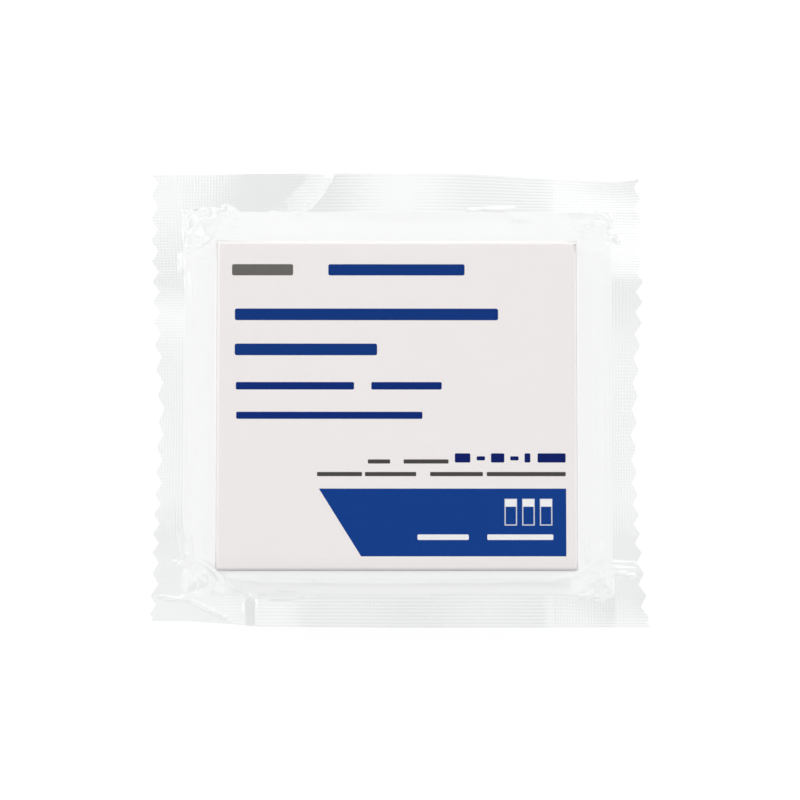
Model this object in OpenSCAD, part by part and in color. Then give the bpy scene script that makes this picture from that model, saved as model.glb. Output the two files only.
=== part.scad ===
// Sealed pack of microscope slides: a closed card carton of glass slides, lying label up in a clear
// pouch of two film webs that are heat sealed together along all four sides.
// The origin is on the surface that the pack lies on, under the middle of the pouch.
// +X runs along the row of slides, +Y to the head of the label, +Z up.

/* [Slides] */
// Length of one glass slide
slide_l = 76.2; // [50:0.1:80]
// Width of one glass slide
slide_w = 25.4; // [18:0.1:30]
// Room that one slide takes in the row, with its interleaf
slide_pitch = 1.16; // [1:0.01:1.5]
// Slides in the row
slide_count = 72; // [20:1:100]

/* [Carton] */
// Thickness of the card
board_t = 0.6; // [0.3:0.05:1.5]
// Room between the slides and the card on each side
slide_clearance = 0.8; // [0.2:0.1:3]
// Outside radius of the folded edges
fold_r = 0.7; // [0.3:0.1:1.5]
// Width of the open line around each tucked end panel
tuck_gap = 0.35; // [0.2:0.05:0.8]
// Depth of that line
tuck_depth = 0.5; // [0.2:0.1:1]

/* [Film] */
// Thickness of one web
film_t = 0.08; // [0.04:0.01:0.2]
// Clearance between the web and the long edges of the carton
film_gap = 0.3; // [0.1:0.1:2]
// Height of the joint between the two webs, from the surface
seal_z = 13; // [6:0.5:20]

/* [Seals] */
// Free film between the carton and the left seal
left_free = 9.3; // [4:0.1:20]
// Free film between the carton and the right seal
right_free = 10; // [4:0.1:20]
// Free film between the carton and the head seal
head_free = 7.5; // [4:0.1:20]
// Free film between the carton and the foot seal
foot_free = 6.3; // [4:0.1:20]
// Width of the left and right seals, from tooth tip to free film, at their middle
side_seal_w = 5.6; // [4:0.1:15]
// Width of the head seal
head_seal_w = 9.3; // [4:0.1:15]
// Width of the foot seal
foot_seal_w = 8.2; // [4:0.1:15]

/* [Cut edges] */
// Pitch of the zigzag cut
tooth_pitch = 5.6; // [2:0.1:10]
// Depth of the zigzag cut
tooth_depth = 1.4; // [0.5:0.1:3]
// How far the middle of a zigzag side is drawn in from its corners
side_waist = 2; // [0:0.1:5]
// How far the middle of the head and foot edges stands out from the corners
edge_crown = 0.9; // [0:0.1:3]
// Points along each straight-cut edge
edge_points = 9; // [5:2:21]

/* [Hidden] */
$fn = 48;
cut = 1; // how far a cutting shape runs past what it cuts
plate_t = 0.001; // thickness of the thin plates that a hull joins

// carton: outside sizes from the slides that fill it
wall = board_t + slide_clearance;
carton_l = slide_count * slide_pitch + 2 * wall;
carton_w = slide_l + 2 * wall;
carton_h = slide_w + 2 * wall;
carton_z = film_t; // the carton stands on the back web
carton_top = carton_z + carton_h;

// pouch: reach from the carton's middle to each seal and each cut edge
seal_left = carton_l / 2 + left_free;
seal_right = carton_l / 2 + right_free;
seal_head = carton_w / 2 + head_free;
seal_foot = carton_w / 2 + foot_free;
edge_left = seal_left + side_seal_w + side_waist;
edge_right = seal_right + side_seal_w + side_waist;
edge_head = seal_head + head_seal_w;
edge_foot = seal_foot + foot_seal_w;

// the pouch is centred on the origin, so the carton stands off it by half the difference of its margins
carton_x = (edge_left - edge_right) / 2;
carton_y = (edge_foot - edge_head) / 2;

// zigzag: whole teeth that fill the side between the corners of the two straight-cut edges
side_l = edge_head + edge_foot - 2 * edge_crown;
teeth = round(side_l / tooth_pitch);

// x of a zigzag side at a point that runs from 0 at its foot corner to 1 at its head corner:
// reach at the corners, drawn in by a parabola at the middle
function waisted(reach, t) = reach - side_waist * (1 - pow(2 * t - 1, 2));

// the tips lie on the waisted line and the notches one tooth depth inside it
function zigzag(reach) = [
    for (i = [0 : 2 * teeth])
        let (t = i / (2 * teeth))
        [waisted(reach, t) - (i % 2) * tooth_depth, -edge_foot + edge_crown + t * side_l]
];

// y of a straight-cut edge at a point that runs from -1 to 1 across it: a shallow crown
function crowned(reach, t) = reach - edge_crown * t * t;

// the points of a straight-cut edge between its two corners
function straight_cut(reach, start_x, end_x) = [
    for (i = [1 : edge_points - 2])
        let (t = i / (edge_points - 1))
        [start_x + t * (end_x - start_x), crowned(reach, 2 * t - 1)]
];

function mirrored_x(points) = [for (p = points) [-p[0], p[1]]];
function mirrored_y(points) = [for (p = points) [p[0], -p[1]]];
function turned_back(points) = [for (i = [len(points) - 1 : -1 : 0]) points[i]];

// outline of the pouch: right zigzag up, head edge back, left zigzag down, foot edge forth
module pouch_outline() {
    polygon(concat(
        zigzag(edge_right),
        straight_cut(edge_head, edge_right, -edge_left),
        turned_back(mirrored_x(zigzag(edge_left))),
        mirrored_y(straight_cut(edge_foot, -edge_left, edge_right))
    ));
}

// rectangle with true round corners, centred
module rounded_outline(l, w, r) {
    square([l - 2 * r, w], center = true);
    square([l, w - 2 * r], center = true);
    for (x = [-1, 1], y = [-1, 1])
        translate([x * (l / 2 - r), y * (w / 2 - r)])
            circle(r);
}

// closed box with its twelve folded edges rounded: three rounded prisms that cross, centred
module folded_box(l, w, h, r) {
    intersection() {
        linear_extrude(h, center = true)
            rounded_outline(l, w, r);
        rotate([90, 0, 0])
            linear_extrude(w, center = true)
                rounded_outline(l, h, r);
        rotate([90, 0, 90])
            linear_extrude(l, center = true)
                rounded_outline(w, h, r);
    }
}

// open line round three sides of a tucked end panel, in the plane of that end, centred
module tuck_line(w, h) {
    for (y = [-1, 1])
        translate([y * (w / 2 - board_t - tuck_gap / 2), 0])
            square([tuck_gap, h - 2 * board_t], center = true);
    translate([0, h / 2 - board_t - tuck_gap / 2])
        square([w - 2 * board_t, tuck_gap], center = true);
}

// rectangular plate across the pouch at a height, standing out from the carton's four sides by
// its own amount on each: left, right, head, foot
module spread_plate(z, left, right, head, foot) {
    translate([-carton_l / 2 - left, -carton_w / 2 - foot, z])
        cube([carton_l + left + right, carton_w + head + foot, plate_t]);
}

// the space under a web: from the carton's face at one height, sloping out to the seals at the
// other; grow makes the same shape larger by the thickness of the web
module tent(face_z, joint_z, grow) {
    near = film_gap + grow;
    hull() {
        spread_plate(face_z, near, near, near, near);
        spread_plate(joint_z, left_free + grow, right_free + grow, head_free + grow, foot_free + grow);
    }
}

// the front web over the carton's label face and down to the joint, and its flat rim
module front_film() {
    color([0.94, 0.96, 0.97, 0.35])
        translate([carton_x, carton_y, 0])
            difference() {
                union() {
                    translate([0, 0, seal_z])
                        linear_extrude(film_t)
                            pouch_outline();
                    tent(carton_top + film_t - plate_t, seal_z, film_t);
                }
                tent(carton_top - plate_t, seal_z - plate_t, 0);
            }
}

// the back web under the carton and up to the joint, and its flat rim
module back_film() {
    color([0.92, 0.95, 0.97, 0.35])
        translate([carton_x, carton_y, 0])
            difference() {
                union() {
                    translate([0, 0, seal_z - film_t])
                        linear_extrude(film_t)
                            pouch_outline();
                    tent(0, seal_z - plate_t, film_t);
                }
                tent(film_t, seal_z, 0);
            }
}

// the closed carton, filled with its row of slides, with the line round each tucked end panel
module carton() {
    color([0.93, 0.92, 0.91])
        translate([carton_x, carton_y, carton_z + carton_h / 2])
            difference() {
                folded_box(carton_l, carton_w, carton_h, fold_r);
                for (side = [-1, 1])
                    translate([side * (carton_l / 2 - tuck_depth / 2 + cut / 2), 0, 0])
                        rotate([90, 0, 90])
                            linear_extrude(tuck_depth + cut, center = true)
                                tuck_line(carton_w, carton_h);
            }
}

carton();
front_film();
back_film();
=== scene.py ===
"""Looks of a sealed pack of microscope slides: the printed carton, the two webs of its clear pouch, and a
pale stage. Lengths inside the functions are in millimetres, unless a name ends in _m."""

import math

import bpy
import numpy as np
from mathutils import Matrix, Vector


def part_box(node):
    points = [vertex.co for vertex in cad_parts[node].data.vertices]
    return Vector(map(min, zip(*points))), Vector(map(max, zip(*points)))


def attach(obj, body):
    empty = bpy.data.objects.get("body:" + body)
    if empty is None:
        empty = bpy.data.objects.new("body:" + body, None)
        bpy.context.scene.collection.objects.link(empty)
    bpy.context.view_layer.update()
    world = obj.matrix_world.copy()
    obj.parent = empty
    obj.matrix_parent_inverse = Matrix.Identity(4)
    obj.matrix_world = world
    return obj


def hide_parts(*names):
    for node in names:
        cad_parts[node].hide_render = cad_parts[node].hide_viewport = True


bl_info = {
    "name": "Sealed Slide Pack",
    "version": (1, 0, 0),
    "blender": (4, 5, 0),
    "location": "3D View > Sidebar > Slide Pack",
    "description": "Builds a carton of microscope slides sealed in a clear film pouch",
    "category": "Object",
}

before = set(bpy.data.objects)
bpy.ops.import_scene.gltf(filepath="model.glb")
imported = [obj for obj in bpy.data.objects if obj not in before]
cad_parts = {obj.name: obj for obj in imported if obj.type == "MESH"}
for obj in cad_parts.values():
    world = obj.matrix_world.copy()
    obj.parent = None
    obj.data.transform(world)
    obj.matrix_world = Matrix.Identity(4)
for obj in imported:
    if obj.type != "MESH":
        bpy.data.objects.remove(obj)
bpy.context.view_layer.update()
CARTON_LOW, CARTON_HIGH = (np.array(corner) * 1000 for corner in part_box("carton"))
MIDDLE = (CARTON_LOW + CARTON_HIGH) / 2
HALF = (CARTON_HIGH - CARTON_LOW) / 2
BODY = "root"


def mm(length_m):
    """A length in metres, in millimetres."""
    return length_m * 1000.0


def smooth(value):
    """Goes from 0 to 1 with level ends, as three times the square less two times the cube."""
    value = np.clip(value, 0.0, 1.0)
    return value * value * (3.0 - 2.0 * value)


def bump(value, width):
    """A round hump of height 1 at 0 that dies away over a width, as a Gauss curve."""
    return np.exp(-((value / width) ** 2))


# ---------------------------------------------------------------------------------------------
# Sizes and colours that a user would change


class CartonSizes(bpy.types.PropertyGroup):
    fold_radius: bpy.props.FloatProperty(
        name="Fold radius", description="Outside radius of the folded edges",
        default=0.0007, min=0.0002, max=0.003, unit="LENGTH", precision=5)
    edge_fall: bpy.props.FloatProperty(
        name="Edge fall", description="How far the panels fall away at their folds",
        default=0.00035, min=0.0, max=0.001, unit="LENGTH", precision=5)
    edge_width: bpy.props.FloatProperty(
        name="Edge width", description="Width of the strip along a fold that falls away",
        default=0.003, min=0.001, max=0.01, unit="LENGTH", precision=5)
    tuck_gap: bpy.props.FloatProperty(
        name="Tuck gap", description="Width of the open line round a tucked end panel",
        default=0.00035, min=0.0001, max=0.001, unit="LENGTH", precision=5)
    tuck_depth: bpy.props.FloatProperty(
        name="Tuck depth", description="Depth of the open line round a tucked end panel",
        default=0.0005, min=0.0, max=0.001, unit="LENGTH", precision=5)
    board: bpy.props.FloatProperty(
        name="Board", description="Thickness of the card",
        default=0.0006, min=0.0003, max=0.0015, unit="LENGTH", precision=5)


class LabelColours(bpy.types.PropertyGroup):
    card: bpy.props.FloatVectorProperty(
        name="Card", description="Coated white card",
        subtype="COLOR", size=3, min=0, max=1, default=(0.920, 0.877, 0.867))
    # paler card of the folds: partly wear, partly painted highlight
    worn_and_highlight: bpy.props.FloatVectorProperty(
        name="Worn card", description="Card at its rubbed folds",
        subtype="COLOR", size=3, min=0, max=1, default=(0.96, 0.955, 0.95))
    panel: bpy.props.FloatVectorProperty(
        name="Panel blue", description="Slanted panel at the foot of the label",
        subtype="COLOR", size=3, min=0, max=1, default=(0.0035, 0.049, 0.270))
    heading: bpy.props.FloatVectorProperty(
        name="Heading blue", description="Bars of the headings",
        subtype="COLOR", size=3, min=0, max=1, default=(0.004, 0.040, 0.226))
    small: bpy.props.FloatVectorProperty(
        name="Dark grey", description="Bars of the small print",
        subtype="COLOR", size=3, min=0, max=1, default=(0.075, 0.070, 0.066))
    mark: bpy.props.FloatVectorProperty(
        name="Mid grey", description="Bar at the head of the label",
        subtype="COLOR", size=3, min=0, max=1, default=(0.160, 0.152, 0.140))


class FilmSizes(bpy.types.PropertyGroup):
    cell: bpy.props.FloatProperty(
        name="Cell", description="Side of one cell of the film's mesh, half the pitch of the dimples",
        default=0.00043, min=0.0003, max=0.002, unit="LENGTH", precision=5)
    left_path: bpy.props.FloatProperty(
        name="Left slope", description="Film between the carton's left fold and the left seal",
        default=0.0174, min=0.01, max=0.03, unit="LENGTH", precision=4)
    foot_path: bpy.props.FloatProperty(
        name="Foot slope", description="Film between the carton's lower fold and the foot seal",
        default=0.01596, min=0.01, max=0.03, unit="LENGTH", precision=4)
    dimple: bpy.props.FloatProperty(
        name="Dimple height", description="Height of the pyramids pressed into the seals",
        default=0.000013, min=0.0, max=0.0003, unit="LENGTH", precision=6)
    dots: bpy.props.FloatProperty(
        name="Dot height", description="Height of the fine round dots over the pyramids",
        default=0.000024, min=0.0, max=0.0003, unit="LENGTH", precision=6)
    tooth_depth: bpy.props.FloatProperty(
        name="Tooth depth", description="Depth of the zigzag cut",
        default=0.00175, min=0.0, max=0.003, unit="LENGTH", precision=4)
    share: bpy.props.FloatProperty(
        name="Reflection", description="Share of the light that one web reflects when seen square on",
        default=0.095, min=0.02, max=0.3)
    tint: bpy.props.FloatVectorProperty(
        name="Tint", description="Light that passes through one web",
        subtype="COLOR", size=3, min=0, max=1, default=(0.966, 0.970, 0.972))


class StageSizes(bpy.types.PropertyGroup):
    lens: bpy.props.FloatProperty(
        name="Lens", description="Focal length of the camera on a sensor 36 mm wide",
        default=113.13, min=20, max=300)
    key: bpy.props.FloatProperty(
        name="Key light", description="Power of the large soft lamp at the upper left",
        default=1.2, min=0, max=50, unit="POWER")
    top: bpy.props.FloatProperty(
        name="Top light", description="Power of the large soft lamp overhead",
        default=2.35, min=0, max=50, unit="POWER")
    fill: bpy.props.FloatProperty(
        name="Fill light",
        description="Power of the soft lamp at the right, twice that of the one at the left",
        default=0.6, min=0, max=50, unit="POWER")
    strips: bpy.props.FloatProperty(
        name="Strip lights", description="Power of the long low lamp on either side",
        default=0.6, min=0, max=50, unit="POWER")
    floor: bpy.props.FloatVectorProperty(
        name="Floor", description="Pale floor",
        subtype="COLOR", size=3, min=0, max=1, default=(0.8, 0.8, 0.8))


# ---------------------------------------------------------------------------------------------
# Materials


class Value:
    """One output of a node. Sums of values add the Math nodes that work them out."""

    def __init__(self, finish, socket):
        self.finish, self.socket = finish, socket

    def math(self, operation, *others, clamp=False):
        settings = {"operation": operation, "use_clamp": clamp}
        return self.finish.node("ShaderNodeMath", settings, dict(enumerate((self, *others))))

    def __add__(self, other):
        return self.math("ADD", other)

    __radd__ = __add__

    def __sub__(self, other):
        return self.math("SUBTRACT", other)

    def __rsub__(self, other):
        return self.finish.node("ShaderNodeMath", {"operation": "SUBTRACT"}, {0: other, 1: self})

    def __mul__(self, other):
        return self.math("MULTIPLY", other)

    __rmul__ = __mul__

    def __truediv__(self, other):
        return self.math("DIVIDE", other)

    def __pow__(self, other):
        return self.math("POWER", other)

    def __abs__(self):
        return self.math("ABSOLUTE")

    def least(self, other):
        return self.math("MINIMUM", other)

    def most(self, other):
        return self.math("MAXIMUM", other)

    def clipped(self):
        return self.math("ADD", 0.0, clamp=True)

    def within(self, low, high, edge=0.06):
        """1 between two values and 0 outside them, over a soft edge."""
        return (((high - low) / 2 - abs(self - (low + high) / 2)) / edge + 0.5).clipped()

    def above(self, level, edge=0.06):
        """0 below a level and 1 above it, over a soft edge."""
        return ((self - level) / edge + 0.5).clipped()


class Finish:
    """The nodes of one material or world."""

    def __init__(self, owner):
        owner.use_nodes = True
        self.tree = owner.node_tree
        self.tree.nodes.clear()

    def node(self, kind, settings=None, values=None, output=0):
        """Adds a node: its settings first, then the values or links of its sockets."""
        made = self.tree.nodes.new(kind)
        for name, setting in (settings or {}).items():
            if name == "stops":
                ramp = made.color_ramp
                while len(ramp.elements) < len(setting):
                    ramp.elements.new(1.0)
                for element, (position, colour) in zip(ramp.elements, setting):
                    element.position, element.color = position, colour
            else:
                setattr(made, name, setting)
        for name, value in (values or {}).items():
            if isinstance(value, Value):
                self.tree.links.new(value.socket, made.inputs[name])
            else:
                made.inputs[name].default_value = value
        return Value(self, made.outputs[output])

    def mix(self, share, first, second):
        """A colour between two others."""
        settings = {"data_type": "RGBA", "clamp_factor": True}
        return self.node("ShaderNodeMix", settings, {0: share, 6: first, 7: second}, output=2)

    def vector(self, operation, first, second):
        """One Vector Math node."""
        return self.node("ShaderNodeVectorMath", {"operation": operation}, {0: first, 1: second})

    def parts(self, vector, count):
        """The first parts of a vector."""
        return [self.node("ShaderNodeSeparateXYZ", None, {0: vector}, output=part) for part in range(count)]

    def noise(self, place, scale, detail=2.0, roughness=0.5, stretch=None):
        """Soft noise from 0 to 1 over a place in millimetres, with one lump about every 1 / scale."""
        if stretch:
            place = self.vector("MULTIPLY", place, stretch)
        values = {"Vector": place, "Scale": scale, "Detail": detail, "Roughness": roughness}
        return self.node("ShaderNodeTexNoise", {"noise_dimensions": "3D"}, values)

    def place(self):
        """The object's own coordinates in millimetres, in plan from the middle of the carton."""
        scaled = self.vector("MULTIPLY", self.node("ShaderNodeTexCoord", output=3), (1000.0, 1000.0, 1000.0))
        return self.vector("SUBTRACT", scaled, (float(MIDDLE[0]), float(MIDDLE[1]), 0.0))

    def show(self, shader, kind="ShaderNodeOutputMaterial"):
        """Links a shader to the output node."""
        self.tree.links.new(shader.socket, self.tree.nodes.new(kind).inputs[0])


def rgba(colour):
    """A colour with full cover."""
    return (*colour[:3], 1.0)


WHITE = (1.0, 1.0, 1.0, 1.0)
# Width over which the print fades at its edges
PRINT_EDGE = 0.07


def bars(x, y, rows, words, radius):
    """1 inside any bar of a line and 0 outside, from the distance to the nearest round-cornered bar."""
    low, high = rows
    across = (abs(y - (low + high) / 2) - ((high - low) / 2 - radius)).most(0.0)
    along = None
    for start, end in words:
        gap = abs(x - (start + end) / 2) - ((end - start) / 2 - radius)
        along = gap if along is None else along.least(gap)
    along = along.most(0.0)
    distance = (along * along + across * across) ** 0.5
    return ((radius - distance) / PRINT_EDGE + 0.5).clipped()


def card_material(colours):
    """Coated white card: faint mottle, folds paler from wear and painted highlight, painted shade at the
    lower fold, the label's bars and slanted panel, and a fine tooth.
    """
    material = bpy.data.materials.new("coated_card")
    finish = Finish(material)
    place = finish.place()
    x, y, z = finish.parts(place, 3)
    on_face = z.above(float(CARTON_HIGH[2]) - 0.9, 0.1)

    # bare card: slow mottle, fibres, folds paler from wear and painted highlight, and painted shade at the
    # lower fold
    mottle = finish.noise(place, 0.11, 3.0)
    fibre = finish.noise(place, 2.6, 4.0, 0.65)
    speck = finish.noise(place, 1.15, 2.0, 0.5).above(0.73, 0.03)
    tone = 0.965 + mottle * 0.035 + fibre * 0.03
    bare = finish.mix(1.0 - tone, rgba(colours.card), (0.45, 0.43, 0.42, 1.0))
    bare = finish.mix(speck * 0.12, bare, (0.30, 0.29, 0.28, 1.0))
    from_end = float(HALF[0]) - abs(x)
    from_side = float(HALF[1]) - abs(y)
    from_face = float(HALF[2]) - abs(z - float(MIDDLE[2]))
    from_fold = from_end.most(from_side).least(from_side.most(from_face)).least(from_end.most(from_face))
    # folds paler: partly wear of the card, partly painted highlight where the folds meet the light
    rubbed_and_painted_highlight = (1.0 - from_fold / 0.75).clipped() * (0.45 + finish.noise(place, 0.6, 3.0) * 0.9).clipped()
    bare = finish.mix(rubbed_and_painted_highlight, bare, rgba(colours.worn_and_highlight))
    # painted shade: a grey band on the label face, darkest at the lower fold, stands in for the shade along
    # that fold
    painted_foot_shade = (1.0 - (y + float(HALF[1])) / 1.1).clipped() * on_face
    bare = finish.mix(painted_foot_shade * 0.35, bare, (0.42, 0.40, 0.42, 1.0))

    # print
    head_blue = bars(x, y, (31.05, 33.75), [(-16.4, 16.2)], 0.45)
    head_grey = bars(x, y, (31.05, 33.75), [(-39.4, -24.8)], 0.45)
    title = bars(x, y, (20.3, 23.1), [(-38.7, 24.2)], 0.5)
    title = title.most(bars(x, y, (11.9, 14.7), [(-38.7, -4.7)], 0.5))
    second = bars(x, y, (3.7, 5.5), [(-38.4, -10.2), (-6.1, 10.7)], 0.35)
    second = second.most(bars(x, y, (-3.3, -1.6), [(-38.3, 6.1)], 0.35))
    small = bars(x, y, (-13.95, -12.95), [(-6.9, -1.6), (1.6, 12.3)], 0.2)
    words = [(-19.0, -8.3), (-7.6, 4.6), (7.9, 20.5), (21.4, 40.2)]
    small = small.most(bars(x, y, (-16.95, -15.95), words, 0.2))
    sizes = bars(x, y, (-13.7, -11.5), [(13.8, 17.5), (22.4, 25.6), (33.5, 40.2)], 0.3)
    sizes = sizes.most(bars(x, y, (-13.2, -12.2), [(19.0, 21.0), (27.0, 29.0)], 0.3))
    sizes = sizes.most(bars(x, y, (-13.7, -11.5), [(30.4, 31.8)], 0.3))
    slanted_end = ((x + 18.5) * 0.848 + (y + 20.0) * 0.530).above(0.0)
    panel = y.within(-36.0, -19.9) * (1.0 - x.above(40.3)) * slanted_end

    # three upright slides in outline, each with a solid end, and two bars under them
    nearest = ((x - 31.3) / 4.2).math("ROUND").least(1.0).most(-1.0)
    off = abs(x - 31.3 - nearest * 4.2)
    rise = abs(y + 25.5)
    outline = (off - 1.35).most(rise - 3.05)
    slides = (1.0 - abs(outline) / 0.2).clipped().most((1.0 - outline.above(0.0)) * y.above(-24.2))
    white = slides * y.within(-28.9, -22.1)
    white = white.most(bars(x, y, (-32.1, -30.8), [(4.9, 17.1), (21.5, 37.2)], 0.3))

    ink_grain = finish.noise(place, 3.2, 3.0, 0.7)
    streak = finish.noise(place, 0.35, 2.0, 0.5, (0.25, 3.0, 1.0))
    panel_grain = (ink_grain.above(0.60, 0.10) * 0.10 + streak * 0.05).clipped()
    ink = finish.mix(panel_grain, rgba(colours.panel), (0.035, 0.13, 0.40, 1.0))
    colour = bare
    printed = (
        (head_grey, colours.mark), (head_blue, colours.heading), (title, colours.heading),
        (second, (0.0024, 0.026, 0.196)), (small, colours.small), (sizes, (0.0030, 0.013, 0.138)),
    )
    for mask, shade in printed:
        colour = finish.mix(mask * on_face, colour, rgba(shade))
    colour = finish.mix(panel * on_face, colour, ink)
    colour = finish.mix(white * panel * on_face * 0.97, colour, (0.94, 0.935, 0.93, 1.0))

    inked = head_blue.most(title).most(panel).most(second) * on_face
    roughness = 0.42 + fibre * 0.14 - inked * 0.08 + rubbed_and_painted_highlight * 0.2
    relief = finish.noise(place, 1.6, 4.0, 0.6) * 0.6 + fibre * 0.4
    normal = finish.node("ShaderNodeBump", None, {"Strength": 0.10, "Distance": 0.00004, "Height": relief})
    values = {"Base Color": colour, "Roughness": roughness, "Normal": normal, "Specular IOR Level": 0.02}
    finish.show(finish.node("ShaderNodeBsdfPrincipled", None, values))
    return material


def film_material(sizes):
    """Clear glossy film: it reflects a small share square on, and more at a slant, and passes the rest. The
    dots of the seals are the part above a level of two cosine waves that cross in the flat cut."""
    material = bpy.data.materials.new("clear_film")
    finish = Finish(material)
    place = finish.place()
    slow = finish.noise(place, 0.22, 3.0, 0.55)
    fine = finish.noise(place, 1.4, 2.0, 0.5)
    relief = slow * 0.75 + fine * 0.25
    waved = finish.node("ShaderNodeBump", None, {"Strength": 0.10, "Distance": 0.00010, "Height": relief})
    # round dots of the sealing jaws, in step with the pyramids
    flat = finish.node("ShaderNodeUVMap", {"uv_map": "flat"})
    pressed = finish.node("ShaderNodeAttribute", {"attribute_name": "pressed"}, output=2)
    across, along = ((part * math.pi).math("COSINE") for part in finish.parts(flat, 2))
    dot = ((0.0 - across - along - 0.3) / 1.7).most(0.0)
    values = {"Strength": 1.0, "Distance": sizes.dots, "Height": dot * pressed, "Normal": waved}
    normal = finish.node("ShaderNodeBump", None, values)
    facing = finish.node("ShaderNodeLayerWeight", None, {"Blend": 0.5, "Normal": normal}, output=1)
    share = sizes.share + (1.0 - sizes.share) * facing ** 6.0
    through = finish.node("ShaderNodeBsdfTransparent", None, {"Color": rgba(sizes.tint)})
    values = {"Color": WHITE, "Roughness": 0.10, "Normal": normal}
    gloss = finish.node("ShaderNodeBsdfAnisotropic", {"distribution": "GGX"}, values)
    finish.show(finish.node("ShaderNodeMixShader", None, {0: share, 1: through, 2: gloss}))
    return material


# ---------------------------------------------------------------------------------------------
# Meshes


def put_mesh(name, points, faces, material, flat=None, places=None, pressed=None):
    """A piece at the origin from points in millimetres in the frame and faces of three or four corners. It is
    smooth but for the faces marked flat. A sheet also has the place of each point in its flat cut, in cells,
    and how deeply it is pressed there."""
    mesh = bpy.data.meshes.new(name)
    corners = np.concatenate([part.ravel() for part in faces])
    sizes = np.concatenate([np.full(len(part), part.shape[1]) for part in faces])
    mesh.vertices.add(len(points))
    mesh.vertices.foreach_set("co", (points / 1000.0).astype(np.float32).ravel())
    mesh.loops.add(len(corners))
    mesh.loops.foreach_set("vertex_index", corners.astype(np.int32))
    mesh.polygons.add(len(sizes))
    mesh.polygons.foreach_set("loop_start", np.concatenate([[0], np.cumsum(sizes)[:-1]]).astype(np.int32))
    mesh.update(calc_edges=True)
    mesh.polygons.foreach_set("use_smooth", np.ones(len(sizes), bool) if flat is None else ~flat)
    if places is not None:
        layer = mesh.uv_layers.new(name="flat")
        layer.data.foreach_set("uv", places[corners].astype(np.float32).ravel())
        mesh.attributes.new("pressed", "FLOAT", "POINT").data.foreach_set("value", pressed.astype(np.float32))
    mesh.validate()
    mesh.materials.append(material)
    piece = bpy.data.objects.new(name, mesh)
    bpy.context.collection.objects.link(piece)
    return piece


def stepped(edges, ends, count):
    """Even positions between two ends, and a pair of them just either side of each edge of a cut, near which
    the even ones are left out."""
    lines = [np.linspace(ends[0], ends[1], count)] + [np.array([edge - 0.01, edge + 0.01]) for edge in edges]
    lines = np.unique(np.concatenate(lines))
    keep = np.ones(len(lines), bool)
    for edge in edges:
        keep &= (np.abs(lines - edge) < 0.02) | (np.abs(lines - edge) > 0.08)
    return lines[keep]


def panel_fall(x, y, fall, width):
    """How far a panel lies under its middle: nothing inside, and towards each fold a parabola, over a strip
    whose width differs a little from fold to fold."""
    near_x = np.clip(1 - (HALF[0] - np.abs(x)) / np.where(x < 0, 0.28 * width, 0.22 * width), 0, 1)
    near_y = np.clip(1 - (HALF[1] - np.abs(y)) / np.where(y < 0, 1.2 * width, 0.3 * width), 0, 1)
    return fall * (1 - (1 - near_x ** 2) * (1 - near_y ** 2))


def crown_fall(x, y, fall, width):
    """The fall of the panel under a place, or of its nearest edge for a place beyond it."""
    return panel_fall(np.clip(x, -HALF[0], HALF[0]), np.clip(y, -HALF[1], HALF[1]), fall, width)


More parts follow.
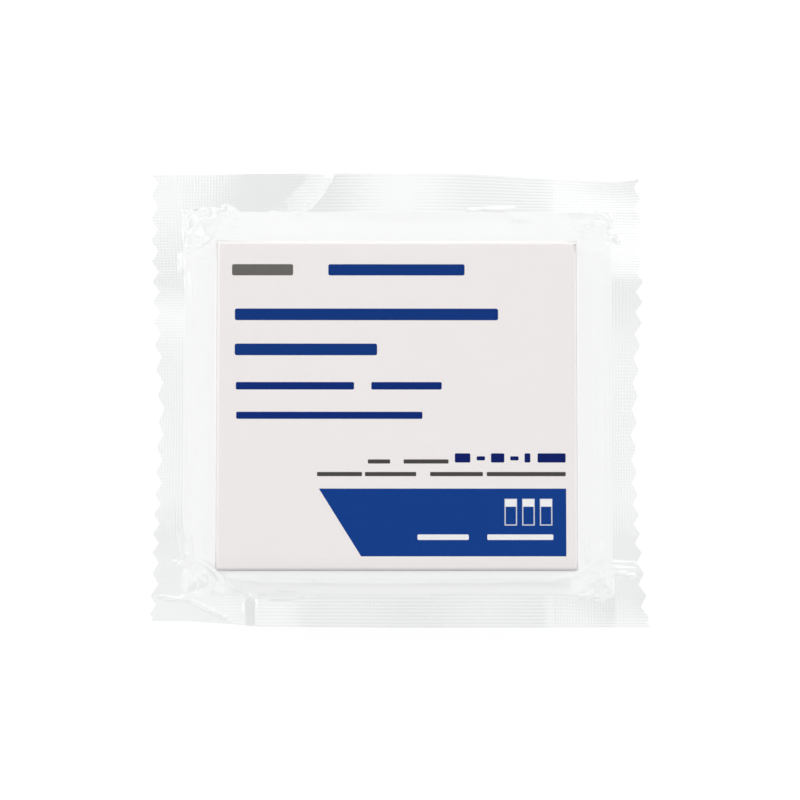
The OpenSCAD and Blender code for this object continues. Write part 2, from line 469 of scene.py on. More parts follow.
def carton_mesh(sizes, material):
    """Closed box: a rounded rectangle in plan, carried up a profile that starts at the middle of the bottom
    panel, runs out to its fold, up the sides and in to the middle of the top panel. The end panels have an
    open line on three sides, and each panel falls away towards its folds."""
    radius, fall, width = mm(sizes.fold_radius), mm(sizes.edge_fall), mm(sizes.edge_width)
    gap, depth, board = mm(sizes.tuck_gap), mm(sizes.tuck_depth), mm(sizes.board)
    half_x, half_y, half_z = HALF
    line_y = half_y - board - gap
    line_z = half_z - board - gap

    # plan: four straight sides and four quarter turns, anticlockwise from the lower right corner
    ys = stepped([-line_y - gap, -line_y, line_y, line_y + gap], (-half_y + radius, half_y - radius), 44)
    xs = np.linspace(half_x - radius, -half_x + radius, 48)
    turn = np.linspace(0, math.pi / 2, 8)[1:-1]
    sides = []
    for index, (cx, cy) in enumerate(((1, 1), (-1, 1), (-1, -1), (1, -1))):
        angle = turn + index * math.pi / 2
        corner_x = cx * (half_x - radius) + radius * np.cos(angle)
        corner_y = cy * (half_y - radius) + radius * np.sin(angle)
        sides.append(np.stack([corner_x, corner_y], 1))
    right = np.stack([np.full(len(ys), half_x), ys], 1)
    top = np.stack([xs, np.full(len(xs), half_y)], 1)
    plan = np.concatenate([right, sides[0], top, sides[1], -right, sides[2], -top, sides[3]])

    # profile: share of the plan's reach, inset from it, and height from the middle
    low, high = -half_z + fall + radius, half_z - fall - radius
    zs = stepped([-line_z - gap, -line_z, line_z, line_z + gap], (low, high), 26)
    zs = zs[(zs > low - 1e-6) & (zs < high + 1e-6)]
    roll = np.linspace(0, math.pi / 2, 7)[1:]
    strip = radius + np.array([0.0, 0.25, 0.5, 0.8, 1.1, 1.5, 1.9, 2.4, 2.9, 3.5, 4.2, 5.0, 6.5])[1:]
    shares = np.array([0.9, 0.78, 0.66, 0.54, 0.42, 0.3, 0.2, 0.1, 0.04])
    last_strip = np.full(len(shares), strip[-1])
    inset = np.concatenate([np.zeros(len(zs)), radius * (1 - np.cos(roll)), strip, last_strip])
    rolled = half_z - fall - radius * (1 - np.sin(roll))
    level = np.concatenate([zs, rolled, np.full(len(strip) + len(shares), half_z - fall)])
    share = np.concatenate([np.ones(len(zs) + len(roll) + len(strip)), shares])
    lower = slice(None, len(zs) - 1, -1)
    inset = np.concatenate([inset[lower], inset])
    share = np.concatenate([share[lower], share])
    level = np.concatenate([-level[lower], level])

    reach = 1 - inset[:, None, None] / np.array([half_x, half_y])
    ring = plan[None] * reach * share[:, None, None]
    x, y = ring[..., 0], ring[..., 1]
    z = np.broadcast_to(level[:, None], x.shape).copy()
    panel = np.abs(level)[:, None] > half_z - fall - 0.3 * radius
    inward = smooth((half_x - np.abs(x)) / radius) * smooth((half_y - np.abs(y)) / radius)
    z += np.sign(z) * panel * (fall - panel_fall(x, y, fall, width)) * inward

    # open line of the tucked ends, and sides that bow in a little
    on_end = np.abs(x) > half_x - 0.3 * radius
    in_y = (np.abs(y) > line_y) & (np.abs(y) < line_y + gap) & (np.abs(z) < line_z + gap)
    in_z = (z > line_z) & (z < line_z + gap) & (np.abs(y) < line_y + gap)
    x -= np.sign(x) * on_end * (in_y | in_z) * depth
    side = smooth((half_z - np.abs(z)) / 6)
    x -= np.sign(x) * on_end * 0.12 * side * smooth((half_y - np.abs(y)) / 12)
    y -= np.sign(y) * (np.abs(y) > half_y - 0.3 * radius) * 0.10 * side * smooth((half_x - np.abs(x)) / 12)
    # one scuffed corner at the head, right, is pressed back
    knock = bump(x - half_x, 1.6) * bump(y - half_y, 1.9) * bump(z - half_z, 1.6)
    x -= 0.5 * knock
    y -= 0.42 * knock
    z -= 0.3 * knock

    rows, columns = x.shape
    points = np.stack([x, y, z], -1).reshape(-1, 3)
    points = np.concatenate([points, [[0, 0, -half_z], [0, 0, half_z]]]) + MIDDLE
    row, column = np.meshgrid(np.arange(rows - 1), np.arange(columns), indexing="ij")
    below, after = row * columns, (column + 1) % columns
    quads = np.stack([below + column, below + after, below + columns + after, below + columns + column], -1)
    quads = quads.reshape(-1, 4)
    around = np.arange(columns)
    foot = np.stack([around, np.full(columns, rows * columns), (around + 1) % columns], 1)
    last = (rows - 1) * columns
    head = np.stack([last + around, last + (around + 1) % columns, np.full(columns, rows * columns + 1)], 1)
    return put_mesh("printed_carton", points, [quads, foot, head], material)


# ---------------------------------------------------------------------------------------------
# Film


# Plan of the cut edge, from the middle of the carton: how far out it lies at places along each side
EDGE_LEFT = (
    (-53, -60.2), (-48.5, -60.4), (-42, -59.4), (-31, -59.3), (-20, -58.7), (-8, -58.4),
    (-1.5, -57.9), (12, -58.8), (28, -59.7), (40, -60.2), (57, -60.3),
)
EDGE_RIGHT = (
    (-54, 62.1), (-48.5, 61.4), (-42, 60.6), (-31, 59.4), (-19, 58.8), (-7, 58.6),
    (11, 59.4), (22, 60.2), (31, 60.5), (46, 60.4), (57, 60.1),
)
EDGE_FOOT = ((-60, -51.8), (-50, -51.8), (-40, -52.4), (-33, -53.0), (0, -53.2), (62, -53.2))
EDGE_HEAD = (
    (-59.5, 57.8), (-45, 57.4), (-30, 57.6), (-12, 57.9), (12, 57.9),
    (22, 57.5), (33, 56.9), (45, 56.6), (54, 56.2), (59.5, 57.0),
)
# Crease along which the corner at the foot, left, is bent down
BENT = ((-62, -46.0), (-57, -45.6), (-50, -46.7), (-41.6, -50.9), (-35, -55.0))

# Folds of the film: height, width of the side to the left of the path, width of the side to its right, and
# path in plan
SLOPE_FOLDS = (
    # head, left
    (0.55, 0.9, 1.2, ((-49.7, 19), (-51.3, 34), (-51.6, 44), (-50.9, 46.3), (-49.4, 48), (-44.7, 48.5))),
    (-0.5, 1.0, 1.0, ((-50, 43.5), (-48.5, 46), (-45.5, 46.8))),
    (1.0, 1.3, 1.3, ((-41.6, 48), (-39.8, 47.8))),
    (0.5, 0.6, 1.2, ((-44.5, 48), (-41.3, 49.7), (-38.1, 46.8))),
    (0.7, 0.9, 1.0, ((-44.5, 47), (-40, 45.6), (-35.9, 44.6))),
    (0.5, 0.8, 0.8, ((-43.5, 46.3), (-40, 44.1), (-36.5, 43.6))),
    (0.6, 2.6, 0.9, ((-37, 41.8), (-33, 44.2), (-28.6, 46.8))),
    (0.3, 0.8, 2.5, ((-28.6, 41.9), (-17.5, 45.8))),
    (0.5, 0.7, 0.7, ((-52.8, 37.6), (-52.6, 34))),
    (0.8, 1.0, 1.0, ((-46.8, 41), (-45.7, 36.5))),
    (0.5, 0.6, 0.6, ((-49, 41), (-48.6, 37.6))),
    # head, right
    (1.45, 0.8, 2.0, ((27.5, 47.4), (38.8, 42.2))),
    (0.4, 0.8, 1.6, ((30.3, 47.6), (34, 46.2), (39.6, 45.4))),
    (0.4, 0.8, 1.2, ((42.1, 45.4), (45.7, 42.7))),
    (0.45, 0.9, 1.3, ((46.2, 45.1), (50, 43.8), (54.8, 41.7))),
    # foot, right
    (0.5, 0.6, 0.9, ((45.1, -39.8), (50.7, -39.9), (57.8, -40.5))),
    (0.5, 0.7, 0.7, ((46.0, -39.8), (46.8, -39.8))),
    (0.5, 0.7, 0.7, ((50.3, -39.8), (51.1, -39.8))),
    (0.7, 0.7, 1.5, ((45.6, -45.2), (47, -43.6), (47.4, -42.2))),
    (0.7, 0.7, 1.5, ((49.3, -46), (51.4, -43.9), (51.8, -42.4))),
    (0.9, 0.8, 0.9, ((45.3, -31.5), (45.9, -38.2))),
    (0.45, 1.0, 1.0, ((50, -31), (50.3, -38.5))),
    # foot, left
    (-2.3, 1.6, 2.3, ((-51.0, -31.0), (-50.2, -36), (-48.9, -39.5))),
    (0.4, 0.5, 0.7, ((-54.1, -37.1), (-51.6, -38.1), (-48.9, -41))),
    (0.7, 0.7, 0.9, ((-47.5, -39.5), (-46, -41.5))),
    (0.6, 0.6, 0.8, ((-45.5, -38.5), (-44.8, -41))),
    (0.6, 0.6, 0.9, ((-43.6, -40), (-46.5, -44.6))),
    (0.7, 0.7, 1.0, ((-43, -40.2), (-42.6, -45))),
    (0.7, 0.7, 1.0, ((-42.4, -40.2), (-39.2, -44.6))),
    (0.5, 0.6, 0.9, ((-41.5, -40.4), (-35.8, -42.4))),
    (-0.8, 1.6, 1.6, ((-41, -42.5), (-39.6, -41.6))),
    (-0.8, 1.5, 1.6, ((-37, -44), (-35.6, -45.6))),
    (0.8, 2.2, 1.4, ((-38.5, -43), (-34.5, -44))),
    (-0.35, 0.6, 1.0, ((-33.7, -40.3), (-28.3, -44.1), (-15, -44.9), (6.9, -44.9))),
)
SEAL_FOLDS = (
    (0.6, 5.0, 0.8, ((-25, 46.8), (-22, 49.5), (-19.3, 52), (-16, 57.5))),
    (0.25, 0.6, 0.6, ((17.7, 48.7), (28.9, 49.3))),
    (0.3, 0.5, 0.5, ((50.5, -37.3), (58.5, -37.6))),
    (0.25, 0.5, 0.5, ((50.5, -38.6), (58.5, -38.9))),
    (0.5, 1.6, 1.0, ((-34.4, -45.2), (-29, -45.6), (-23.4, -45.4))),
    (0.3, 0.6, 0.8, ((-58, -45.8), (-50.1, -46.6), (-41.6, -50.9))),
)
# Places in the seals where the dimples are faint: middle in plan, reach along x and y, share of their height
FAINT = (
    (-56, 52.5, 5.0, 5.0, 0.35),
    (0.5, 52, 4.0, 8.0, 0.25),
    (57, -47, 3.5, 5.0, 0.5),
    (-35.9, -49.5, 1.7, 4.5, 0.0),
    (2, -49, 40.0, 9.0, 0.35),
    (-2, 53, 26.0, 9.0, 0.45),
    (-46.5, -48.5, 5.0, 3.5, 0.4),
    (-57, 22, 5.0, 12.0, 0.55),
    (58, 18, 5.0, 10.0, 0.6),
)
# Faint lines of the film over the label
FACE_FOLDS = (
    (0.04, 0.5, 0.5, ((-17.2, 36.6), (-8, 36.9), (3.1, 36.7))),
    (0.035, 0.5, 0.5, ((-25.5, 26.6), (-12.4, 25.6), (3.1, 25.2), (24.7, 26.1))),
)


# At the corners head left, head right, foot left and foot right: how far the joint droops, and the share of
# its cut length that the squeezed film takes back
DROOP = (1.4, 2.6, 3.5, 4.0)
SLACK = (0.8, 0.6, 0.8, 0.6)
# Room between the free webs at least, height of each web over the floor at least, radius of the film's bend
# round the carton's folds, and height of the settled film over the carton
WEB_ROOM, FRONT_LOW, BACK_LOW, FILM_BEND, LAID = 0.04, 0.10, 0.03, 0.7, 0.06
# How far each web lies off the middle of the joint
HALF_FILM = 0.015
# Least height of any point of the finished film over the floor
LOWEST = 0.02
# Share of the way to its cut length that each link is drawn in a round
STIFFNESS = 0.9
# Rows of cells from the foot edge to the first tip of the zigzag and from tip to tip, and cells that a tooth
# draws in
FIRST_TIP, TOOTH_ROWS, TOOTH_REACH = 6, 15.0, 16


def by_corner(s, t, values):
    """One of four values, by the corner that a flat place is nearest to."""
    return np.where(t > 0, np.where(s < 0, values[0], values[1]), np.where(s < 0, values[2], values[3]))


class Pouch:
    """The flat cut of a web, in cells, and where its parts go. Flat lengths run from the carton's middle:
    along the row of slides (s) and towards the head of the label (t)."""

    def __init__(self, sizes):
        self.cell = mm(sizes.cell)
        self.columns, self.rows = 320, 304
        self.seals = np.array([[19, 18], [19, 23]])  # cells in the left, right, foot and head seals
        self.clear = 0.25  # from the carton's sides to the film where it leaves the top edge
        self.half = HALF[:2] + self.clear
        seal = self.seals * self.cell
        first = np.array([mm(sizes.left_path), mm(sizes.foot_path)])
        whole = np.array([self.columns, self.rows]) * self.cell
        second = whole - 2 * self.half - first - seal.sum(1)
        self.path = np.stack([first, second], 1)  # sloping film at either end of s and of t
        self.start = -(self.half + first + seal[:, 0])
        self.free = np.array([[8.3, 9.3], [5.4, 8.5]])  # the same in plan
        self.drawn_in = np.array([[0.137, 0.125], [0.170, 0.145]])  # share of its length that a seal loses
        self.seal = seal
        self.top = HALF[2] * 2 + 0.08  # heights over the floor: front web, and joint before it waves
        self.joint = 14.2

    def flat(self, step):
        """Flat coordinates of the corners of the cells, with cells a number of times the final size."""
        counts = enumerate((self.columns, self.rows))
        return (self.start[axis] + np.arange(0, count + 1, step) * self.cell for axis, count in counts)


def spread(pouch, flat, axis, beside):
    """Plan place of the film for a flat coordinate. Abreast of the carton it is the same on the carton, takes
    less plan than film down the nearly straight slope, and keeps almost its width in the seal. Past the
    carton, where beside is 1, the film is drawn in along the seal by a share that grows from the middle of
    the seal to its ends."""
    over = np.maximum(np.abs(flat) - pouch.half[axis], 0)
    low = flat < 0
    path = np.where(low, *pouch.path[axis])
    free = np.where(low, *pouch.free[axis])
    mid = np.where(over < path, free * (over / path) ** 1.06, free + (over - path) * 0.97)
    abreast = np.sign(flat) * (np.minimum(np.abs(flat), pouch.half[axis]) + mid)
    along = flat * (1 - np.where(low, *pouch.drawn_in[axis]) * smooth(np.abs(flat) / 48))
    in_seal = np.maximum(over - path, 0) / np.where(low, *pouch.seal[axis])
    return abreast + (along - abreast) * beside, over / path, in_seal


def joint_height(pouch, s, t, past, in_seal):
    """Height of the joint: slow steps and waves along the sides, seals that lean out or in by an amount that
    changes along them, a narrow strip of the foot seal that leans the other way, and drooping corners."""
    far = smooth((np.abs(s) - 40) / 27) * smooth((np.abs(t) - 36) / 28)
    left = -0.6 * np.tanh((t - 24) / 7) + 0.3 * np.sin(t / 7)
    right = -0.45 * np.tanh((t - 42) / 9) - 0.7 * np.tanh((t + 48) / 6) + 0.25 * np.sin(t / 6 + 1)
    wave = np.where(s < 0, left, right) * np.clip(past[0], 0, 1)
    wave = wave + 0.5 * np.sin(s / 10 + 1) * np.clip(past[1], 0, 1)
    side_lean = np.where(s < 0, 0.6 + 0.5 * bump(t + 3, 24), 0.6 + 0.6 * bump(t + 2, 26))
    head_lean = -0.6 * bump(s + 38, 17) + 1.2 * bump(s - 2, 17) + 0.75 * bump(s - 45, 20)
    strip = smooth((s + 43.0) / 0.7) * smooth((-38.6 - s) / 0.7)
    foot_lean = -1.1 * (1 - strip) + 0.4 * bump(s - 55, 9) - 0.5 * bump(s + 33, 7) * (1 - strip) + 0.6 * strip
    lean = side_lean * in_seal[0] + np.where(t > 0, head_lean, foot_lean) * in_seal[1]
    droop = by_corner(s, t, DROOP) * far ** 0.8
    return pouch.joint + wave - lean - droop


def first_webs(pouch, step):
    """Front and back webs before they settle: the carton's top or bottom, nearly straight slopes that meet in
    round corners, and the seals, whose cut edge follows the outline in plan. The corner at the foot, left, is
    bent down past its crease."""
    s, t = np.meshgrid(*pouch.flat(step), indexing="ij")
    past = [
        np.maximum(np.abs(flat) - pouch.half[axis], 0) / np.where(flat < 0, *pouch.path[axis])
        for axis, flat in enumerate((s, t))]
    x, past_s, in_s = spread(pouch, s, 0, smooth(past[1]))
    y, past_t, in_t = spread(pouch, t, 1, smooth(past[0]))
    ends = ((0, EDGE_LEFT), (-1, EDGE_RIGHT))
    left, right = (np.interp(y[row], *np.transpose(edge)) - x[row] for row, edge in ends)
    x = x + in_s * np.where(s < 0, left, right)
    ends = ((0, EDGE_FOOT), (-1, EDGE_HEAD))
    foot, head = (np.interp(x[:, row], *np.transpose(edge)) - y[:, row] for row, edge in ends)
    y = y + in_t * np.where(t < 0, foot[:, None], head[:, None])
    whole = np.clip((np.clip(past_s, 0, 1) ** 5 + np.clip(past_t, 0, 1) ** 5) ** 0.2, 0, 1)
    down = 1 - (1 - whole) ** 1.12
    bent = 0.55 * np.maximum(np.interp(x, *np.transpose(BENT)) - y, 0) * (x < -35)
    joint = np.maximum(joint_height(pouch, s, t, past, (in_s, in_t)) - bent, 0.3)
    front = np.stack([x, y, pouch.top + (joint - pouch.top) * down], -1)
    back = np.stack([x, y, BACK_LOW + (joint - BACK_LOW) * whole ** 1.25], -1)
    sealed = (past_s >= 0.999) | (past_t >= 0.999)
    return np.stack([front, back]).astype(np.float32), sealed, (s, t, past_s, past_t)


def fold_height(x, y, height, left_width, right_width, path):
    """Height of one fold over the plan: a ridge along a path that falls straight to nothing over one width on
    the left of the path and another on its right, and dies away at both ends."""
    path = np.array(path, float)
    start, run = path[:-1], np.diff(path, axis=0)
    length = np.hypot(run[:, 0], run[:, 1])
    from_x, from_y = x[..., None] - start[:, 0], y[..., None] - start[:, 1]
    along = np.clip((from_x * run[:, 0] + from_y * run[:, 1]) / length ** 2, 0, 1)
    distance = np.hypot(from_x - along * run[:, 0], from_y - along * run[:, 1])
    nearest = distance.argmin(-1)[..., None]
    side = np.take_along_axis(run[:, 0] * from_y - run[:, 1] * from_x, nearest, -1)[..., 0]
    before = np.concatenate([[0], np.cumsum(length)[:-1]])
    gone = np.take_along_axis(along * length + before, nearest, -1)[..., 0]
    distance = np.take_along_axis(distance, nearest, -1)[..., 0]
    profile = np.maximum(1 - distance / np.where(side > 0, left_width, right_width), 0)
    ends = smooth(0.35 + np.minimum(gone, length.sum() - gone) / 2.0)
    return height * profile * ends


def folded(webs, sealed, fall, width):
    """The settled webs with their folds. The front web is first laid down on the crowned label face. Then the
    ridges of the free film, sine streaks down the left and right slopes and sine ripples over the label are
    added to its height, and the ridges of the seals to both webs."""
    x, y = webs[0, ..., 0].astype(np.float64), webs[0, ..., 1].astype(np.float64)
    in_both = sum(fold_height(x, y, *fold) for fold in SEAL_FOLDS)
    in_front = 1.4 * sum(fold_height(x, y, *fold) for fold in SLOPE_FOLDS)
    in_front += sum(fold_height(x, y, *fold) for fold in FACE_FOLDS)
    beyond = np.abs(x) - HALF[0]
    on_slope = smooth(beyond / 1.5) * smooth((11 - beyond) / 3) * smooth((42 - np.abs(y)) / 8) * ~sealed
    streaks = np.sin(x * 3.3 + 0.5 * np.sin(y / 11)) + 0.7 * np.sin(x * 5.1 + 1.3 * np.sin(y / 17 + 2))
    in_front += 0.05 * on_slope * streaks
    over_label = smooth((HALF[0] - np.abs(x)) / 3) * smooth((HALF[1] - np.abs(y)) / 3)
    level = y - 2.4 * (1 - np.exp(-np.maximum(x + 41, 0) / 12))
    ripples = np.sin(level * 5.2 + 1.2 * np.sin(x / 15) + 0.8 * np.sin(y / 2.3))
    ripples = ripples * bump(x + 32, 24) * bump(y + 20, 8)
    head_ripples = 0.8 * np.sin(y * 4.1 + np.sin(x / 19 + 1)) * bump(y - 37, 4)
    right_ripples = 0.5 * np.sin(y * 4.7 + np.sin(x / 14)) * bump(x - 30, 16) * bump(y - 22, 12)
    ripples += head_ripples + right_ripples
    in_front += 0.022 * over_label * ripples
    over = (np.abs(x) < HALF[0]) & (np.abs(y) < HALF[1])
    face = CARTON_HIGH[2] + LAID - crown_fall(x, y, fall, width)
    webs[0, ..., 2] = np.where(over, np.minimum(webs[0, ..., 2], face), webs[0, ..., 2])
    webs[0, ..., 2] += in_front + in_both
    webs[1, ..., 2] += in_both + in_front * sealed
    return webs


def cut_lengths(pouch, webs, step, place):
    """Rest length of every link: as it lies in the first shape, and in the corners of the free film, where
    that shape squeezes it, nearer to the length it was cut to."""
    s, t, past_s, past_t = place
    cell = pouch.cell * step
    corner = smooth(past_s * 1.6) * smooth(past_t * 1.6) * by_corner(s, t, SLACK)
    rests = []
    for kind, first, second in links():
        link = webs[second] - webs[first]
        length = np.sqrt((link ** 2).sum(-1))[..., None]
        room = corner[first[1:]][None, ..., None]
        cut = cell * (math.sqrt(2) if kind == 2 else 1.0)
        rests.append((length + np.maximum(cut - length, 0) * room).astype(np.float32))
    return rests


def draw(webs, first, second, rest):
    """Moves the two ends of each link, by equal shares, most of the way to its rest length."""
    link = webs[second] - webs[first]
    length = np.sqrt(np.einsum("...k,...k->...", link, link))[..., None]
    link *= 0.5 * STIFFNESS * (1 - rest / np.maximum(length, 1e-6))
    webs[first] += link
    webs[second] -= link


def links():
    """Every pair of neighbours along, across and on both diagonals, in sets that use no point twice."""
    every, fore, rear = slice(None), slice(None, -1), slice(1, None)
    for parity in (0, 1):
        yield 0, (every, slice(parity, -1, 2), every), (every, slice(parity + 1, None, 2), every)
        yield 1, (every, every, slice(parity, -1, 2)), (every, every, slice(parity + 1, None, 2))
        yield 2, (every, slice(parity, -1, 2), fore), (every, slice(parity + 1, None, 2), rear)
        yield 2, (every, slice(parity, -1, 2), rear), (every, slice(parity + 1, None, 2), fore)


def bend(points):
    """Sum of the differences to the four neighbours, with the sheet carried straight on past its edges."""
    total = np.zeros_like(points)
    total[:, 1:-1] += points[:, 2:] + points[:, :-2] - 2 * points[:, 1:-1]
    total[:, :, 1:-1] += points[:, :, 2:] + points[:, :, :-2] - 2 * points[:, :, 1:-1]
    return total


def clear_of_carton(webs, margin, fall, width):
    """Pushes the webs out of the carton's rounded box by the shortest way, and on to its crowned faces."""
    core = HALF + [0.2, 0.2, -fall / 2] - FILM_BEND
    middle = np.array([0, 0, MIDDLE[2]], np.float32)
    away = webs - middle
    over = np.abs(away) - core
    outside = np.maximum(over, 0)
    distance = np.sqrt((outside ** 2).sum(-1)) - FILM_BEND
    inside = over.max(-1) <= 0
    push = np.maximum(margin - distance, 0)[..., None] * outside
    push /= np.maximum(distance + FILM_BEND, 1e-6)[..., None]
    webs += np.where(inside[..., None], 0, push * np.sign(away))
    within = (over[..., 0] < 0.3) & (over[..., 1] < 0.3)
    rise = CARTON_HIGH[2] + margin - crown_fall(webs[..., 0], webs[..., 1], fall, width)
    front, back = webs[..., 2]
    front[:] = np.where(within[0] & (away[0, ..., 2] > 0), np.maximum(front, rise[0]), front)
    back[:] = np.where(within[1] & (away[1, ..., 2] < 0), BACK_LOW, back)


def relax(webs, aim, sealed, rests, rounds, margin, soft, fall, width):
    """Settles the webs: each link is drawn to its cut length and creases are eased, while the seals keep
    their place and all stays clear of the carton and the floor."""
    seal = sealed[..., None]
    for _ in range(rounds):
        webs -= soft * bend(bend(webs))
        for rest, (_, first, second) in zip(rests, links()):
            draw(webs, first, second, rest)
        clear_of_carton(webs, margin, fall, width)
        webs[:] = np.where(seal, aim, webs)
        lifted = np.maximum(WEB_ROOM - (webs[0, ..., 2] - webs[1, ..., 2]), 0) / 2 * ~sealed
        webs[0, ..., 2] += lifted
        webs[1, ..., 2] -= lifted
        webs[0, ..., 2] = np.maximum(webs[0, ..., 2], FRONT_LOW)
        webs[1, ..., 2] = np.maximum(webs[1, ..., 2], BACK_LOW)


def halved(webs):
    """The same webs with cells half the size: each new point lies on the smooth curve through four others."""
    for axis in (1, 2):
        moved = np.moveaxis(webs, axis, 0)
        padded = np.concatenate([2 * moved[:1] - moved[1:2], moved, 2 * moved[-1:] - moved[-2:-1]])
        mids = (9 * (padded[1:-2] + padded[2:-1]) - padded[:-3] - padded[3:]) / 16
        fine = np.empty((2 * len(moved) - 1, *moved.shape[1:]), np.float32)
        fine[::2], fine[1::2] = moved, mids
        webs = np.moveaxis(fine, 0, axis)
    return np.ascontiguousarray(webs)


def settled_webs(pouch, fall, width):
    """Both webs, settled on cells four, two and one times the final size."""
    webs = None
    for step, rounds, margin, soft in ((4, 400, 0.30, 0.006), (2, 150, 0.14, 0.004), (1, 50, LAID, 0.002)):
        aim, sealed, place = first_webs(pouch, step)
        rests = cut_lengths(pouch, aim, step, place)
        if webs is None:
            shake = np.random.default_rng(11).normal(0, 0.15, aim.shape).astype(np.float32)
            webs = aim + shake * ~sealed[..., None]
        else:
            webs = halved(webs)
        relax(webs, aim, sealed, rests, rounds, margin, soft, fall, width)
    return folded(webs, sealed, fall, width), sealed


def normals(points):
    """Unit normals of a grid of points, from the differences along and across it."""
    along = np.gradient(points, axis=0)
    across = np.gradient(points, axis=1)
    cross = np.cross(along, across)
    return cross / np.maximum(np.linalg.norm(cross, axis=-1, keepdims=True), 1e-9)


def zigzag(pouch, points, depth):
    """Cuts the teeth: the outer cells of each row are drawn in along the film by a triangle wave, most at the
    edge and nothing where the teeth no longer reach. Gives the points and their columns in the flat cut."""
    rows = np.arange(points.shape[1])
    wave = np.abs(((rows - FIRST_TIP) / TOOTH_ROWS) % 1.0 * 2 - 1)  # 1 at the tips, 0 at the notches
    inset = depth * (1 - wave) / pouch.cell
    inset *= np.clip(np.minimum(rows, rows[::-1]) / 3.0, 0, 1)
    columns = np.broadcast_to(np.arange(len(points), dtype=float)[:, None], points.shape[:2]).copy()
    for _ in range(2):
        column = np.arange(TOOTH_REACH)[:, None]
        place = column + inset[None] * (1 - column / TOOTH_REACH)
        low = np.floor(place).astype(int)
        part = (place - low)[..., None]
        line = np.broadcast_to(rows, low.shape)
        points[:TOOTH_REACH] = points[low, line] * (1 - part) + points[low + 1, line] * part
        columns[:TOOTH_REACH] = place
        points, columns = points[::-1], len(columns) - 1 - columns[::-1]
    return points, columns


def web_mesh(pouch, name, points, sealed, dimple, tooth, shift, material):
    """One web: the settled sheet, moved a little off its partner, with a square pyramid pressed in at every
    second cell of the seals and its ends cut in a zigzag."""
    points, flat_columns = zigzag(pouch, points.astype(np.float64), tooth)
    up = normals(points)
    up *= np.where(up[..., 2:] < 0, -1, 1)
    i, j = np.meshgrid(np.arange(points.shape[0]), np.arange(points.shape[1]), indexing="ij")
    peak = (i % 2 == 1) & (j % 2 == 1)
    inner = (i > 0) & (i < pouch.columns) & (j > 0) & (j < pouch.rows)
    depth = sealed.astype(float)
    for x, y, reach_x, reach_y, share in FAINT:
        near = bump(points[..., 0] - x, reach_x) * bump(points[..., 1] - y, reach_y)
        depth = depth * (1 - (1 - share) * near)
    places = np.stack([flat_columns, j], -1).reshape(-1, 2)
    points = points + up * (shift * sealed + dimple * depth * (peak & inner))[..., None]
    points = points + [MIDDLE[0], MIDDLE[1], 0]
    points[..., 2] = np.maximum(points[..., 2], LOWEST)
    columns, rows = pouch.columns, pouch.rows
    i, j = np.meshgrid(np.arange(columns), np.arange(rows), indexing="ij")
    index = i * (rows + 1) + j
    corners = np.stack([index, index + rows + 1, index + rows + 2, index + 1], -1)
    turned = ((i + j) % 2 == 0)[..., None]
    corners = np.where(turned, corners, np.roll(corners, -1, -1)).reshape(-1, 4)
    faces = np.concatenate([corners[:, [0, 1, 2]], corners[:, [0, 2, 3]]])
    pressed = (sealed[:-1, :-1] & sealed[1:, :-1] & sealed[:-1, 1:] & sealed[1:, 1:]).ravel()
    pressed = np.concatenate([pressed, pressed])
    return put_mesh(name, points.reshape(-1, 3), [faces], material, pressed, places, depth.ravel())


# ---------------------------------------------------------------------------------------------
# Operators


class SLIDEPACK_OT_carton(bpy.types.Operator):
    """Builds the closed, printed carton in place of the plain one"""

    bl_idname = "slidepack.carton"
    bl_label = "Printed carton"

    def execute(self, context):
        scene = context.scene
        carton = carton_mesh(scene.slidepack_carton, card_material(scene.slidepack_label))
        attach(carton, BODY)
        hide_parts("carton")
        return {"FINISHED"}


class SLIDEPACK_OT_pouch(bpy.types.Operator):
    """Builds the front and back webs of the clear pouch, settled round the carton"""

    bl_idname = "slidepack.pouch"
    bl_label = "Film pouch"

    def execute(self, context):
        sizes, carton = context.scene.slidepack_film, context.scene.slidepack_carton
        pouch = Pouch(sizes)
        webs, sealed = settled_webs(pouch, mm(carton.edge_fall), mm(carton.edge_width))
        if not np.isfinite(webs).all():
            raise RuntimeError("the film didn't settle")
        material = film_material(sizes)
        dimple, tooth = mm(sizes.dimple), mm(sizes.tooth_depth)
        names = (("front_web", "front_film", HALF_FILM), ("back_web", "back_film", -HALF_FILM))
        for points, (name, node, shift) in zip(webs, names):
            web = web_mesh(pouch, name, points, sealed, dimple, tooth, shift, material)
            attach(web, BODY)
            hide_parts(node)
        return {"FINISHED"}


# How far the floor reaches to each side, its own glow to the eye and in gloss, and its colour there
FLOOR_REACH, FLOOR_GLOW, FLOOR_SEEN = 1500, 0.915, (0.10, 0.10, 0.10, 1.0)
# What the lamps point at, and where the camera stands and looks: 600 mm over the label
LAMP_AIM = (0.0, 0.0, 15.0)
EYE, EYE_AIM = (-3.59, -37.19, 626.46), (0.40, 0.06, 28.28)


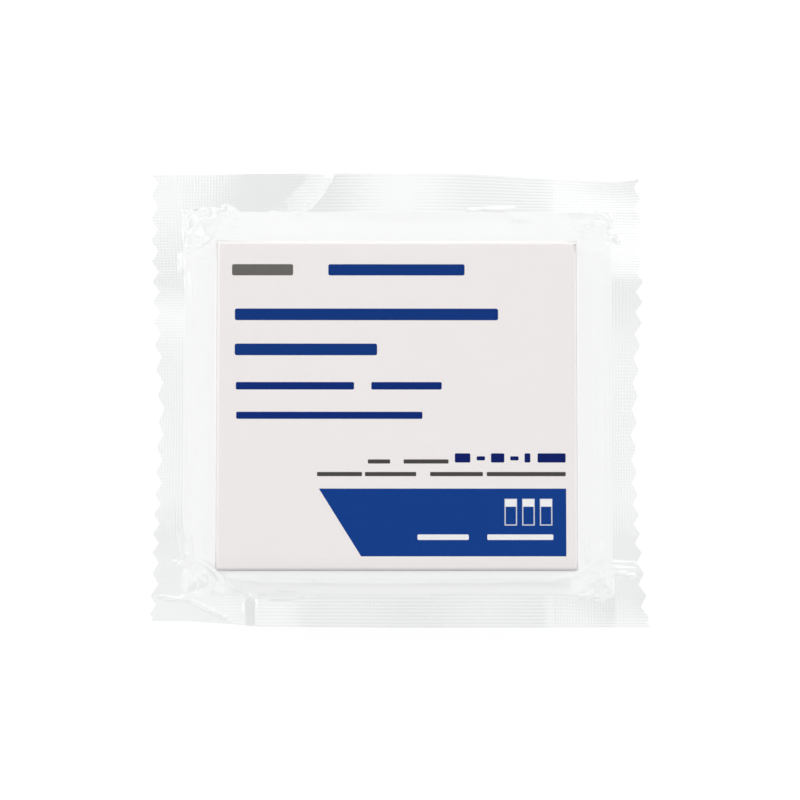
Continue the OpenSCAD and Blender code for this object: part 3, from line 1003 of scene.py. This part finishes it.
class SLIDEPACK_OT_stage(bpy.types.Operator):
    """Builds the pale floor, the soft lights and the camera above the label"""

    bl_idname = "slidepack.stage"
    bl_label = "Stage, lights and camera"

    def execute(self, context):
        scene, sizes = context.scene, context.scene.slidepack_stage
        scene.view_settings.view_transform = "Standard"
        corners = FLOOR_REACH * np.array([[-1, -1, 0], [1, -1, 0], [1, 1, 0], [-1, 1, 0]], float)
        floor = put_mesh("floor", corners, [np.array([[0, 1, 2, 3]])], floor_material(sizes))
        soft_world(scene)
        lamp("key_lamp", (-480, 660, 560), (640, 560), sizes.key, False)
        lamp("top_lamp", (120, 60, 1100), (900, 900), sizes.top, False)
        lamp("right_fill", (900, 60, 460), (400, 800), sizes.fill, False)
        lamp("left_fill", (-900, 60, 460), (400, 800), sizes.fill * 0.5, False)
        lamp("left_strip", (-900, -30, 240), (300, 900), sizes.strips)
        lamp("right_strip", (900, -30, 240), (300, 900), sizes.strips * 0.4)
        watch(scene, sizes)
        return {"FINISHED"}


def floor_material(sizes):
    """Pale floor: to the eye, in gloss and through clear film it is nearly white by itself, and it keeps a
    part of the shadow."""
    material = bpy.data.materials.new("pale_floor")
    finish = Finish(material)
    seen, glossy, passed = (finish.node("ShaderNodeLightPath", output=ray) for ray in (0, 3, 6))
    shown = seen.most(glossy).most(passed)
    colour = finish.mix(shown, rgba(sizes.floor), FLOOR_SEEN)
    matt = finish.node("ShaderNodeBsdfDiffuse", None, {"Color": colour})
    values = {"Color": WHITE, "Strength": shown * FLOOR_GLOW}
    glow = finish.node("ShaderNodeEmission", None, values)
    finish.show(finish.node("ShaderNodeAddShader", None, {0: matt, 1: glow}))
    return material


def soft_world(scene):
    """Studio surroundings, white to the eye. Slant is the sine of the angle from straight up. A dark opening
    overhead gives way over a smooth step to an inner level, which rises evenly from foot to head and falls
    off to the right. Farther out is a ring that is brighter to the head than to the foot, and a third as
    bright close to the floor."""
    world = bpy.data.worlds.new("studio")
    scene.world = world
    finish = Finish(world)
    direction = finish.node("ShaderNodeTexCoord", output=0)
    x, y = finish.parts(direction, 2)
    slant = (x * x + y * y) ** 0.5
    opening = ((slant - 0.20) / 0.14).clipped()
    opening = opening * opening * (3.0 - 2.0 * opening)
    ring = ((slant - 0.46) / 0.10).clipped()
    band = 1.5 - ((slant - 0.92) / 0.05).clipped()
    beside = ((y + 0.25) / 0.35).clipped()
    inner = (0.58 + y * 0.8 - x.most(0.0) * 0.25).most(0.06) * opening
    level = inner * (1.0 - ring) + ring * (0.40 + beside * 0.55) * band + 0.04
    seen = finish.node("ShaderNodeLightPath", output=0)
    strength = level * (1.0 - seen) + seen
    values = {"Color": WHITE, "Strength": strength}
    finish.show(finish.node("ShaderNodeBackground", None, values), "ShaderNodeOutputWorld")


def lamp(name, place, size, power, in_gloss=True):
    """A rectangular soft lamp that faces the pack, and may be left out of what gloss reflects."""
    data = bpy.data.lights.new(name, "AREA")
    data.shape = "RECTANGLE"
    data.size, data.size_y = (side / 1000 for side in size)
    data.energy = power
    holder = bpy.data.objects.new(name, data)
    holder.visible_glossy = in_gloss
    bpy.context.collection.objects.link(holder)
    holder.matrix_world = aimed(np.array(place, float), np.array(LAMP_AIM))


def aimed(place, target):
    """Matrix of something at a place in millimetres that looks at a target, its right side along +X."""
    back = (place - target) / np.linalg.norm(place - target)
    right = np.cross([0.0, 1.0, 0.0], back)
    right /= np.linalg.norm(right)
    up = np.cross(back, right)
    matrix = np.eye(4)
    matrix[:3, 0], matrix[:3, 1], matrix[:3, 2], matrix[:3, 3] = right, up, back, place / 1000
    return Matrix(matrix.tolist())


def watch(scene, sizes):
    """The camera, above the label and a little towards its foot."""
    data = bpy.data.cameras.new("camera")
    data.lens, data.sensor_width = sizes.lens, 36
    data.clip_start, data.clip_end = 0.05, 10
    camera = bpy.data.objects.new("camera", data)
    bpy.context.collection.objects.link(camera)
    camera.matrix_world = aimed(np.array(EYE), np.array(EYE_AIM))
    scene.camera = camera


# The step that each group of sizes or colours goes with
STEPS = {
    "slidepack_carton": "slidepack.carton",
    "slidepack_label": None,
    "slidepack_film": "slidepack.pouch",
    "slidepack_stage": "slidepack.stage",
}


class SLIDEPACK_PT_panel(bpy.types.Panel):
    """Lists the steps of the pack with the sizes and colours that they use"""

    bl_idname = "SLIDEPACK_PT_panel"
    bl_label = "Sealed slide pack"
    bl_space_type = "VIEW_3D"
    bl_region_type = "UI"
    bl_category = "Slide Pack"

    def draw(self, context):
        for group, step in STEPS.items():
            box = self.layout.box()
            for name in getattr(context.scene, group).bl_rna.properties.keys():
                if name not in ("rna_type", "name"):
                    box.prop(getattr(context.scene, group), name)
            if step:
                box.operator(step)


GROUPS = {
    "slidepack_carton": CartonSizes,
    "slidepack_label": LabelColours,
    "slidepack_film": FilmSizes,
    "slidepack_stage": StageSizes,
}
CLASSES = (*GROUPS.values(), SLIDEPACK_OT_carton, SLIDEPACK_OT_pouch, SLIDEPACK_OT_stage, SLIDEPACK_PT_panel)


def register():
    for kind in CLASSES:
        bpy.utils.register_class(kind)
    for name, kind in GROUPS.items():
        setattr(bpy.types.Scene, name, bpy.props.PointerProperty(type=kind))


def unregister():
    for name in GROUPS:
        delattr(bpy.types.Scene, name)
    for kind in reversed(CLASSES):
        bpy.utils.unregister_class(kind)


def main():
    register()
    bpy.ops.slidepack.stage()
    bpy.ops.slidepack.carton()
    bpy.ops.slidepack.pouch()


if __name__ == "__main__":
    main()
